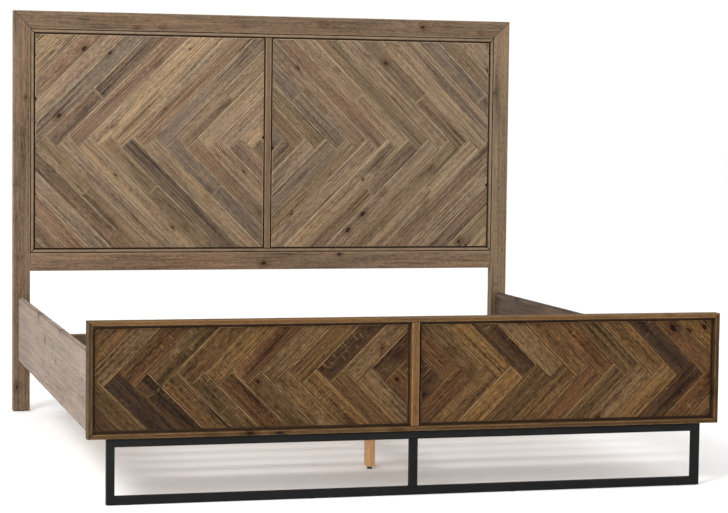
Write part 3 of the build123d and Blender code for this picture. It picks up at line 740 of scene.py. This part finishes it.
class Wood(Nodes):
    """A wood material's nodes, with the grain that its colour, sheen and relief share.

    A board made here carries its own grain, tint, and wear with painted light. A CAD solid has a tone
    instead, and axes, the letters of its own axes in the order along, across and out.
    """

    def __init__(self, name, axes, tone):
        super().__init__(name)
        self.worn_and_painted_light = None
        if axes:
            parts = self.add("ShaderNodeSeparateXYZ", {"Vector": self.places()}).outputs
            order = self.add("ShaderNodeCombineXYZ")
            for socket, letter in zip(order.inputs, axes):
                self.put(socket, parts["xyz".index(letter)])
            self.grain = self.vector("ADD", order.outputs[0], SOLID_LOG)
            self.tint = (*paint(tone), 1.0)
        else:
            self.grain = self.attribute("grain", "Vector")
            self.tint = self.attribute("tint", "Color")
            self.worn_and_painted_light = self.attribute("wear_and_painted_light", "Fac")
        bent = self.vector("ADD", self.grain, self.wander(*GRAIN_WANDER))
        self.along, self.across, self.out = self.add("ShaderNodeSeparateXYZ", {"Vector": bent}).outputs
        self.fields = {field: self.field(*waves) for field, waves in FIELDS.items()}
        self.color = self.tint

    def wander(self, waves, reach):
        """A smooth random shift, with its waves per metre and its reach on each axis."""
        shift = self.noise(self.vector("MULTIPLY", self.grain, waves), output="Color")
        return self.vector("MULTIPLY", self.vector("SUBTRACT", shift, (0.5, 0.5, 0.5)), reach)

    def stretched(self, along, across, detail):
        """Noise drawn out along the board."""
        return self.noise(self.vector("MULTIPLY", self.grain, (along, across, across)), detail=detail)

    def field(self, along, across, detail):
        """Stretched noise that fills 0 to 1."""
        return self.ramp(self.stretched(along, across, detail), *FIELD_SPAN, smooth=False)

    def patches(self, name):
        """Soft-edged patches, 1 inside and 0 outside."""
        along, across, detail, low, high = PATCHES[name]
        return self.ramp(self.stretched(along, across, detail), low, high)

    def stain(self, share, tone):
        """Multiplies the colour by a tone, as far as the share says."""
        product = self.mix(1.0, self.color, (*tone, 1.0), "MULTIPLY")
        self.color = self.mix(share, self.color, product)

    def cover(self, share, color):
        """Lays another colour over this one, as far as the share says."""
        self.color = self.mix(share, self.color, color)

    def knots(self, chance):
        """Knots, and the halo of bent grain round each, both from 0 to 1."""
        even = self.vector("MULTIPLY", self.grain, KNOT_CELLS)
        cells = self.cells(self.vector("ADD", even, self.wander(*KNOT_EDGE)))
        distance = cells["Distance"]
        draws = self.add("ShaderNodeSeparateColor", {"Color": cells["Color"]}).outputs
        here = self.math("LESS_THAN", draws[0], chance)
        radius = self.ramp(draws[1], 0, 1, *KNOT_RADII, smooth=False)
        core = self.ramp(distance, self.times(radius, KNOT_CORE), radius, 1, 0)
        halo = self.ramp(distance, radius, self.times(radius, HALO_REACH), 1, 0)
        return self.times(core, here), self.times(halo, here)

    def late_wood(self, halo):
        """The dark side of each growth ring, from 0 to 1. The rings bend round the knots."""
        squares = [self.math("POWER", side, 2.0) for side in (self.across, self.out)]
        radius = self.plus(self.math("SQRT", self.plus(*squares)), self.times(halo, HALO_LIFT))
        waver = self.times(self.fields["streak"], RING_WAVER)
        phase = self.plus(self.math("DIVIDE", radius, RING_SPACING), waver)
        return self.math("POWER", self.math("FRACT", phase), RING_SHARPNESS)

    def shaded_tint(self, contrast):
        """Makes the tint lighter and darker along the grain."""
        value = self.total(*[(self.fields[name], weight) for name, weight in TONE_WEIGHTS.items()])
        value = self.plus(1 - 2 * contrast, self.times(value, contrast))
        value = self.math("MAXIMUM", value, DARKEST_TONE)
        grey = self.add("ShaderNodeCombineColor", {0: value, 1: value, 2: value}).outputs[0]
        self.color = self.mix(1.0, self.color, grey, "MULTIPLY")

    def cracks(self):
        """Thin cracks along the grain, from 0 to 1."""
        from_line = self.math("ABSOLUTE", self.math("SUBTRACT", self.stretched(*CRACK_NOISE), 0.5))
        line = self.ramp(from_line, 0.0, CRACK_WIDTH, 1, 0)
        return self.times(line, self.ramp(self.fields["cloud"], 0.4, 0.8))

    def saw_marks(self):
        """The raised and the sunk side of slanted saw marks, both from 0 to 1."""
        slant = self.times(self.across, 2 * math.pi / SAW_SLANT)
        phase = self.plus(self.times(self.along, 2 * math.pi / SAW_SPACING), slant)
        waver = self.total(*[(self.fields[name], reach) for name, reach in SAW_WAVER.items()])
        wave = self.math("SINE", self.plus(phase, waver))
        sawn = self.times(self.patches("sawn"), self.ramp(self.fields["mottle"], 0.05, 0.5))
        high = self.times(self.ramp(wave, 0, 1), sawn)
        high = self.times(high, self.ramp(self.fields["streak"], 0.25, 0.6))
        return high, self.times(self.ramp(wave, 0, -1), sawn)

    def worn_edges_and_painted_light(self, pale):
        """Pale edges where the wear and painted light is above 0: rubbed wear, and a painted highlight on
        the planks' upper edges. Dark where it is below 0: dark joints, and painted shade on the planks'
        sides and the rails' edges.
        """
        pale_edges = self.plus(PALE_EDGE_LEAST, self.times(self.patches("pale_edges"), 1 - PALE_EDGE_LEAST))
        self.cover(self.times(self.ramp(self.worn_and_painted_light, 0.0, FULL_WEAR_AND_PAINTED_LIGHT, smooth=False), pale_edges), pale)
        self.stain(self.ramp(self.worn_and_painted_light, 0.0, -FULL_WEAR_AND_PAINTED_LIGHT, smooth=False), JOINT_AND_SHADE_DARK)


def wood(name, axes=None, tone=None, contrast=0.5, ring=0.5, knots=0.45, saw=0.3, scratches=0.0,
         weather=0.3, weather_tone="taupe", edge_tone=(205, 182, 150), rough=0.66, gloss=0.2, hue=0.6):
    """A reclaimed wood material: rings, streaks, knots, saw marks, worn edges and dark joints, with a
    painted highlight on the planks' upper edges and painted shade on the planks' sides and the rails'
    edges.
    """
    n = Wood(name, axes, tone)
    fields = n.fields
    pale = (*(np.array(display(edge_tone)) / STUDIO_GAIN), 1.0)
    knot, halo = n.knots(knots)
    late = n.late_wood(halo)

    n.shaded_tint(contrast)
    n.stain(n.times(fields["warmth"], hue), WARM)
    n.stain(n.times(n.math("SUBTRACT", 1.0, fields["warmth"]), hue), COOL)
    n.stain(n.times(late, ring), LATE_WOOD)
    n.cover(n.times(n.ramp(fields["film"], 0.35, 0.9), weather), (*paint(weather_tone, 1.15), 1.0))
    hollow = n.ramp(n.plus(fields["cloud"], n.times(fields["streak"], 0.4)), 0.5, 0.1)
    n.stain(n.times(hollow, contrast), SHADOW)
    n.stain(n.times(n.cracks(), CRACK_DEPTH), CRACK)

    saw_high, saw_low = n.saw_marks()
    n.stain(n.times(saw_low, saw), SAW_DARK)
    lighter = n.mix(1.0, n.color, (*SAW_LIGHT, 1.0), "MULTIPLY")
    n.cover(n.times(saw_high, saw), n.mix(SAW_PALE, lighter, pale))
    dash = n.times(n.patches("dashes"), n.patches("dashed"))
    if scratches:
        n.cover(n.times(dash, scratches), pale)
    n.stain(n.times(halo, HALO_DEPTH), HALO)
    n.stain(knot, KNOT)
    if n.worn_and_painted_light:
        n.worn_edges_and_painted_light(pale)

    roughness = n.plus(rough - SHEEN_SPREAD / 2, n.times(fields["fine"], SHEEN_SPREAD))
    roughness = n.math("SUBTRACT", roughness, n.times(knot, SHEEN_SPREAD))
    n.shader.inputs["Specular IOR Level"].default_value = gloss
    sources = {**fields, "late": late, "saw": saw_high, "knot": knot, "dash": dash}
    height = n.total(*[(sources[key], depth) for key, depth in RELIEF.items()])
    return n.finish(n.color, roughness, height)


def powder_coat(name, tone, rough):
    """Matt black coating with a fine orange-peel surface and dusty patches."""
    n = Nodes(name)
    places = n.places()
    peel = n.noise(places, scale=900)
    cloud = n.noise(places, scale=9, detail=3)
    dust = n.ramp(cloud, 0.45, 0.75, 0, 0.3)
    dusty = [part + 16 for part in tone]
    n.shader.inputs["Specular IOR Level"].default_value = 0.12
    roughness = n.plus(rough, n.times(cloud, 0.18))
    return n.finish(n.mix(dust, shade(tone), shade(dusty)), roughness, n.times(peel, 0.18 * MM))


def zinc(name):
    """Zinc-plated steel with a spangled tone and fine scratches."""
    n = Nodes(name)
    places = n.places()
    spangle = n.cells(places, 700.0)["Distance"]
    scratch = n.noise(n.vector("MULTIPLY", places, (4000, 400, 4000)))
    color = n.mix(spangle, shade((196, 196, 190)), shade((150, 150, 148)))
    n.shader.inputs["Metallic"].default_value = 1.0
    return n.finish(color, n.plus(0.28, n.times(scratch, 0.25)), n.times(scratch, 0.03 * MM))


def nylon(name):
    """Moulded black nylon with a faint grain and scuffs."""
    n = Nodes(name)
    places = n.places()
    pebble = n.cells(places, 1200.0)["Distance"]
    scuff = n.ramp(n.noise(n.vector("MULTIPLY", places, (300, 300, 900)), detail=3), 0.55, 0.7, 0, 0.4)
    color = n.mix(scuff, shade((30, 30, 31)), shade((72, 71, 70)))
    return n.finish(color, n.plus(0.45, n.times(pebble, 0.25)), n.times(pebble, 0.08 * MM))


# The edge tones are the pale of worn edges and also, on the planks' upper edges, of a painted highlight
HEAD_WOOD = wood("head_planks_wood", contrast=0.62, ring=0.2, knots=0.85, saw=0.9, weather=0.2,
                 edge_tone=(220, 194, 158), hue=0.5)
FRAME_WOOD = wood("head_frame_wood", contrast=0.55, ring=0.35, knots=0.8, saw=0.15, weather=0.3,
                  weather_tone="grey", edge_tone=(176, 152, 124), hue=0.5)
BEAD_WOOD = wood("bead_wood", contrast=0.35, ring=0.2, knots=0.1, saw=0.1, weather=0.1,
                 edge_tone=(170, 144, 114), hue=0.4)
FOOT_WOOD = wood("foot_planks_wood", contrast=0.8, ring=0.3, knots=0.95, saw=0.5, scratches=0.4,
                 weather=0.05, weather_tone="ash", edge_tone=(160, 126, 87), rough=0.62, gloss=0.06,
                 hue=0.55)
FOOT_FRAME_WOOD = wood("foot_frame_wood", contrast=0.45, ring=0.15, knots=0.8, saw=0.1, weather=0.05,
                       weather_tone="ash", edge_tone=(176, 140, 100), rough=0.6, gloss=0.08, hue=0.7)
RAIL_WOOD = wood("rail_wood", contrast=0.4, ring=0.35, knots=0.7, saw=0.3, scratches=0.2, weather=0.3,
                 weather_tone="rail", edge_tone=(205, 196, 184), hue=0.3)
PINE = wood("raw_pine", contrast=0.12, ring=0.4, knots=0.35, saw=0.05, weather=0.05, weather_tone="pine",
            edge_tone=(222, 190, 146), rough=0.6)
# The legs' wood: its tone is painted lighter, in place of light lost in the shade under the bed
LEG_PINE = wood("leg_pine", axes="zxy", tone="leg_painted_lighter", contrast=0.15, ring=0.45, knots=0.3, saw=0.05,
                weather=0.05, weather_tone="pine", rough=0.6)
BACKING = wood("backing_board_wood", axes="xzy", tone="walnut", contrast=0.25, ring=0.3, knots=0.3, saw=0.2,
               weather=0.15, weather_tone="dark")
DOWEL = wood("dowel_beech", axes="xyz", tone="pine", contrast=0.1, ring=0.2, knots=0.0, saw=0.0,
             weather=0.0)
BLACK_STEEL = powder_coat("black_powder_coat", (14, 14, 14), 0.55)
BLACK_OXIDE = powder_coat("black_oxide_sheet", (26, 26, 27), 0.42)
ZINC = zinc("zinc_plate")
NYLON = nylon("black_nylon")


# The pieces of the bed

def board_from(name, node, material, slot, along, out, tint, ease=BOARD_EASE, cuts=(0, 0), worn_and_painted_light=1.0, seed=0,
               gap=BOARD_GAP):
    """A detailed board in the place of one CAD node."""
    low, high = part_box(node)
    boards = Boards(seed)
    add_board(boards, low, high, along, out, tint, ease, cuts, worn_and_painted_light, gap)
    boards.piece(name, material, slot, node)


def frame_of_four(kind, part, ease, tints, worn_and_painted_light, material, slot, seed, gap=BOARD_GAP):
    """Four mitred pieces round an opening, in place of their CAD nodes."""
    for number, (side, (along, cuts)) in enumerate(FOUR_SIDES.items()):
        node = f"{kind}_{side}_{part}"
        board_from(f"{node}_detailed", node, material, slot, along, "-y", tints[side], ease, cuts, worn_and_painted_light,
                   seed + number, gap)


def headboard():
    """The headboard's boards and its four quarters of planks."""
    brown, sand, pale = paint("brown", 1.02), paint("sand", 0.84), paint("brown", 1.32)
    for name, node, along, tint, cuts, seed in (
        ("head_post_left", "headboard_left_post", "z", brown, (0, -1), 11),
        ("head_post_right", "headboard_right_post", "z", sand, (0, 1), 12),
        ("head_top_rail", "headboard_top_rail", "x", brown, (1, 1), 13),
        ("head_lower_rail", "headboard_lower_rail", "x", pale, (0, 0), 14),
    ):
        board_from(name, node, FRAME_WOOD, "head_frame", along, "-y", tint, cuts=cuts, worn_and_painted_light=0.6, seed=seed)
    board_from("head_stretcher", "headboard_lower_stretcher", FRAME_WOOD, "stretcher_wood", "x", "-y",
               paint("dark", 0.7), 1.5 * MM, seed=15)
    board_from("head_stile", "headboard_center_stile", BEAD_WOOD, "head_bead", "z", "-y",
               paint("brown", 1.1), 1.5 * MM, seed=16, gap=STILE_GAP)
    bead_tints = dict.fromkeys(FOUR_SIDES, paint("taupe", 0.95))
    frame_of_four("headboard", "bead", 3 * MM, bead_tints, 0.45, BEAD_WOOD, "head_bead", 20, BEAD_GAP)
    for number, ((name, upper), tones) in enumerate(HEAD_TONES.items()):
        panel_quarter("headboard", name, upper, tones, HEAD_FIRST_VALLEY[name], HEAD_WOOD,
                      HEAD_LIGHTNESS[(name, upper)], 30 + number)


def footboard():
    """The footboard's boards and its four quarters of planks."""
    edge_tints = {side: paint("hazel", share) for side, share in FOOT_EDGE_LIGHTNESS.items()}
    frame_of_four("footboard", "board", 1.5 * MM, edge_tints, 0.25, FOOT_FRAME_WOOD, "foot_frame", 40)
    board_from("foot_stile", "footboard_center_stile", FOOT_FRAME_WOOD, "foot_frame", "z", "-y",
               paint("hazel", 1.1), 1.5 * MM, worn_and_painted_light=0.5, seed=45)
    for number, ((name, upper), tones) in enumerate(FOOT_TONES.items()):
        panel_quarter("footboard", name, upper, tones, FOOT_FIRST_VALLEY[name], FOOT_WOOD,
                      FOOT_LIGHTNESS[(name, upper)], 50 + number)


def rails_and_support():
    """The side rails, ledgers, slats and centre beam."""
    # The rails' negative values darken their edges with painted shade, the top face dark as under light
    # from the front; the right rail's tint, darker than the left rail's, is painted shade on its inner side
    board_from("rail_left", "left_side_rail", RAIL_WOOD, "rail_wood", "y", "-x", paint("rail"), worn_and_painted_light=-0.4,
               seed=60)
    board_from("rail_right", "right_side_rail", RAIL_WOOD, "rail_wood", "y", "x", paint("brown", 0.7),
               worn_and_painted_light=-0.5, seed=61)
    pine = paint("pine")
    for name, node, out, seed, gap in (
        ("ledger_left", "left_ledger", "x", 62, BOARD_GAP),
        ("ledger_right", "right_ledger", "-x", 63, BOARD_GAP),
        ("support_beam", "center_beam", "z", 64, 0.0),
    ):
        board_from(name, node, PINE, "pine", "y", out, pine, 1.2 * MM, worn_and_painted_light=0.3, seed=seed, gap=gap)
    slats = Boards(65)
    low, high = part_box("slats")
    for y in np.linspace(low.y + SLAT_WIDTH / 2, high.y - SLAT_WIDTH / 2, SLAT_COUNT):
        tint = pine * slats.random.uniform(*SLAT_SPREAD)
        corner_low = (low.x, y - SLAT_WIDTH / 2, low.z)
        corner_high = (high.x, y + SLAT_WIDTH / 2, high.z)
        add_board(slats, corner_low, corner_high, "x", "z", tint, 2 * MM, worn_and_painted_light=0.3, gap=0.0)
    slats.piece("bed_slats", PINE, "pine", "slats")


def weld_bead(shell, start, end, random):
    """A rippled weld along a line, as a closed lumpy rod."""
    axis = (end - start).normalized()
    across = Vector((0, 0, 1)).cross(axis).normalized()
    up = axis.cross(across)
    rows = []
    for ring in range(WELD_RINGS):
        swell = WELD_TAPER
        if 0 < ring < WELD_RINGS - 1:
            swell = 1 + WELD_RIPPLE * (-1) ** ring + random.uniform(-WELD_UNEVEN, WELD_UNEVEN)
        centre = start.lerp(end, ring / (WELD_RINGS - 1))
        row = []
        for side in range(WELD_SIDES):
            angle = 2 * math.pi * side / WELD_SIDES
            spoke = math.cos(angle) * across + math.sin(angle) * up
            row.append(shell.verts.new(centre + WELD_RADIUS * swell * spoke))
        rows.append(row)
    for here, after in zip(rows, rows[1:]):
        for side in range(WELD_SIDES):
            following = (side + 1) % WELD_SIDES
            shell.faces.new((here[side], here[following], after[following], after[side]))
    shell.faces.new(list(reversed(rows[0])))
    shell.faces.new(rows[-1])


def base_welds():
    """Small welds in the inner corners of the steel base."""
    top_low, top_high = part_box("base_top_bar")
    _, bottom_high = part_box("base_bottom_bar")
    middle_low, middle_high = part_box("base_center_upright")
    tube = top_high.z - top_low.z
    random = np.random.default_rng(70)
    shell = bmesh.new()
    places = [top_low.x + tube, top_high.x - tube, middle_low.x, middle_high.x]
    for x in places:
        for z in (top_low.z, bottom_high.z):
            start = Vector((x, top_low.y + WELD_INSET, z))
            end = Vector((x, top_high.y - WELD_INSET, z))
            weld_bead(shell, start, end, random)
    mesh = bpy.data.meshes.new("base_welds")
    bmesh.ops.recalc_face_normals(shell, faces=shell.faces)
    shell.to_mesh(mesh)
    shell.free()
    mesh.shade_smooth()
    mesh.materials.append(BLACK_STEEL)
    welds = bpy.data.objects.new("base_welds", mesh)
    bpy.context.scene.collection.objects.link(welds)
    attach(welds, BODY)


def dress_cad_nodes():
    """Procedural materials on the CAD nodes that stay visible, by the record's slots."""
    by_slot = {
        "backing_board": BACKING,
        "pine": LEG_PINE,
        "dowel_wood": DOWEL,
        "black_steel": BLACK_STEEL,
        "bracket_steel": BLACK_OXIDE,
        "zinc_steel": ZINC,
        "black_plastic": NYLON,
    }
    for row in frame["record"]["subparts"]:
        node = frame["nodes"][row["node"]]
        material = by_slot.get(row["material_slot"])
        if material:
            node.data.materials.clear()
            node.data.materials.append(material)


# Studio

def floor():
    """A wide pale floor."""
    n = Nodes("studio_floor")
    speckle = n.noise(n.places(), scale=3)
    n.put(n.shader.inputs["Base Color"], n.mix(speckle, (0.94, 0.94, 0.94, 1), (0.96, 0.96, 0.96, 1)))
    n.shader.inputs["Roughness"].default_value = 0.9
    mesh = bpy.data.meshes.new("floor")
    corners = [(FLOOR_REACH * x, FLOOR_REACH * y, 0) for x, y in ((-1, -1), (1, -1), (1, 1), (-1, 1))]
    mesh.from_pydata(corners, [], [(0, 1, 2, 3)])
    mesh.materials.append(n.material)
    ground = bpy.data.objects.new("floor", mesh)
    bpy.context.scene.collection.objects.link(ground)


def soft_light(name, place, target, size, power):
    """A large square light aimed at a point."""
    data = bpy.data.lights.new(name, "AREA")
    data.shape = "SQUARE"
    data.size = size
    data.energy = power
    lamp = bpy.data.objects.new(name, data)
    lamp.location = place
    lamp.rotation_mode = "QUATERNION"
    lamp.rotation_quaternion = (Vector(target) - Vector(place)).to_track_quat("-Z", "Y")
    lamp.visible_camera = False
    bpy.context.scene.collection.objects.link(lamp)


def studio():
    """White surroundings, a soft key from the upper left, and weak fills from the right and the front."""
    world = bpy.data.worlds.new("studio")
    world.use_nodes = True
    background = world.node_tree.nodes["Background"]
    background.inputs["Color"].default_value = (1, 1, 1, 1)
    background.inputs["Strength"].default_value = WORLD_STRENGTH
    bpy.context.scene.world = world
    bpy.context.scene.view_settings.view_transform = "Standard"
    for name, settings in LAMPS.items():
        soft_light(name, *settings)


def camera():
    """The camera at the viewing angle of the reference."""
    data = bpy.data.cameras.new("camera")
    data.lens = CAMERA_LENS
    data.sensor_width = SENSOR_WIDTH
    data.clip_end = 200
    eye = bpy.data.objects.new("camera", data)
    turn = Matrix.Rotation(-CAMERA_YAW, 4, "Z")
    tilt = Matrix.Rotation(math.pi / 2 + CAMERA_PITCH, 4, "X")
    roll = Matrix.Rotation(CAMERA_ROLL, 4, "Z")
    eye.matrix_world = Matrix.Translation(CAMERA_PLACE) @ turn @ tilt @ roll
    bpy.context.scene.collection.objects.link(eye)
    bpy.context.scene.camera = eye


headboard()
footboard()
rails_and_support()
base_welds()
dress_cad_nodes()
floor()
studio()
camera()
